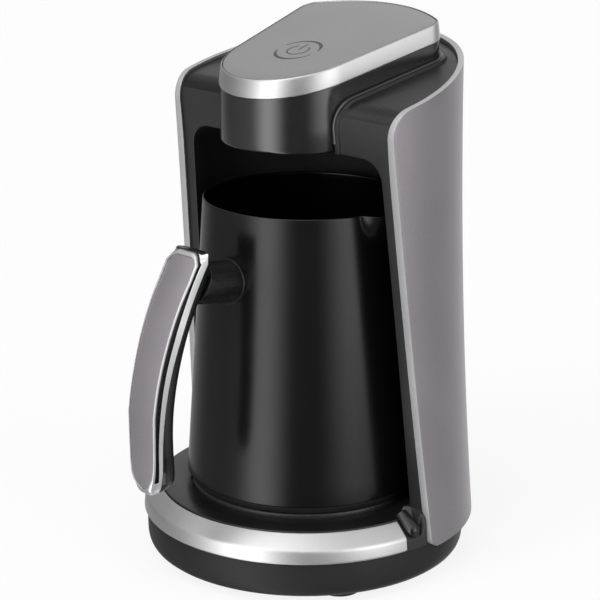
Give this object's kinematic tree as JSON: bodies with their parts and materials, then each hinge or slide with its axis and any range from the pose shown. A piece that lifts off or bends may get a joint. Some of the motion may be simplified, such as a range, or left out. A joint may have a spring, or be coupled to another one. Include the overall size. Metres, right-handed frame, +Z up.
{
  "type": "electric turkish coffee maker",
  "caption": "One-pot coffee maker: round base with a heating plate, a grey-wrapped column, a head reaching over a lift-out long-handled pot and a power button on its sloping top.",
  "frame": {"origin": "on the table, under the middle of the whole machine with its pot; the round base's axis lies 9.75 mm behind it", "axes": "+Z up, front and pot handle towards -Y, pot spout towards +X"},
  "size_m": [0.136, 0.1554, 0.2162],
  "materials": {
    "black_satin": "satin, fine grain",
    "black_gloss": "high gloss",
    "black_matte": "matt",
    "rubber_black": "matt",
    "zinc_steel": "plated",
    "bright_chrome": "polished",
    "plate_coating": "non-stick coating, satin",
    "heater_sheath": "raw",
    "tray_steel": "mill finish",
    "ceramic_ivory": "moulded",
    "brass_case": "drawn",
    "grey_metallic": "fine metallic paint, satin",
    "grey_plate": "fine metallic paint, satin",
    "window_dark": "tinted, clear",
    "board_green": "solder mask",
    "board_parts": "moulded",
    "non_stick_black": "non-stick coating, satin"
  },
  "bodies": {
    "root": {"base_shell": "black_satin", "bottom_cover": "black_satin", "rubber_feet": "rubber_black", "base_screws": "zinc_steel", "base_trim_ring": "bright_chrome", "base_deck": "black_gloss", "heating_plate": "plate_coating", "heating_element": "heater_sheath", "heater_tray": "tray_steel", "thermostat": "ceramic_ivory", "thermal_fuse": "brass_case", "cord_gland": "rubber_black", "column_frame": "black_satin", "bay_liner": "black_matte", "wrap_panel": "grey_metallic", "column_screws": "zinc_steel", "head_housing": "black_gloss", "head_underside": "black_matte", "sensor_window": "window_dark", "foam_sensor": "board_parts", "power_board": "board_green", "head_trim_ring": "bright_chrome", "top_plate": "grey_plate", "control_board": "board_green", "button_switch": "board_parts", "buzzer": "board_parts"},
    "jug": {"pot_shell": "non_stick_black", "pot_base": "non_stick_black", "handle_stud": "zinc_steel", "handle_washer": "rubber_black", "handle_neck": "black_satin", "handle_core": "black_satin", "handle_trim": "bright_chrome", "handle_insert": "grey_metallic", "handle_screw": "zinc_steel"},
    "button": {"power_button": "grey_plate", "switch_plunger": "ceramic_ivory"}
  },
  "joints": [
    {"name": "jug_lift_off", "type": "slide", "parent": "root", "child": "jug", "axis": [0, -0.9945, 0.1045], "range_m": [0, 0.14]},
    {"name": "button_press", "type": "slide", "parent": "root", "child": "button", "axis": [0, 0.2334, -0.9724], "range_m": [0, 0.0008], "stiffness_N_per_m": 2500, "springref_m": -0.0002}
  ]
}
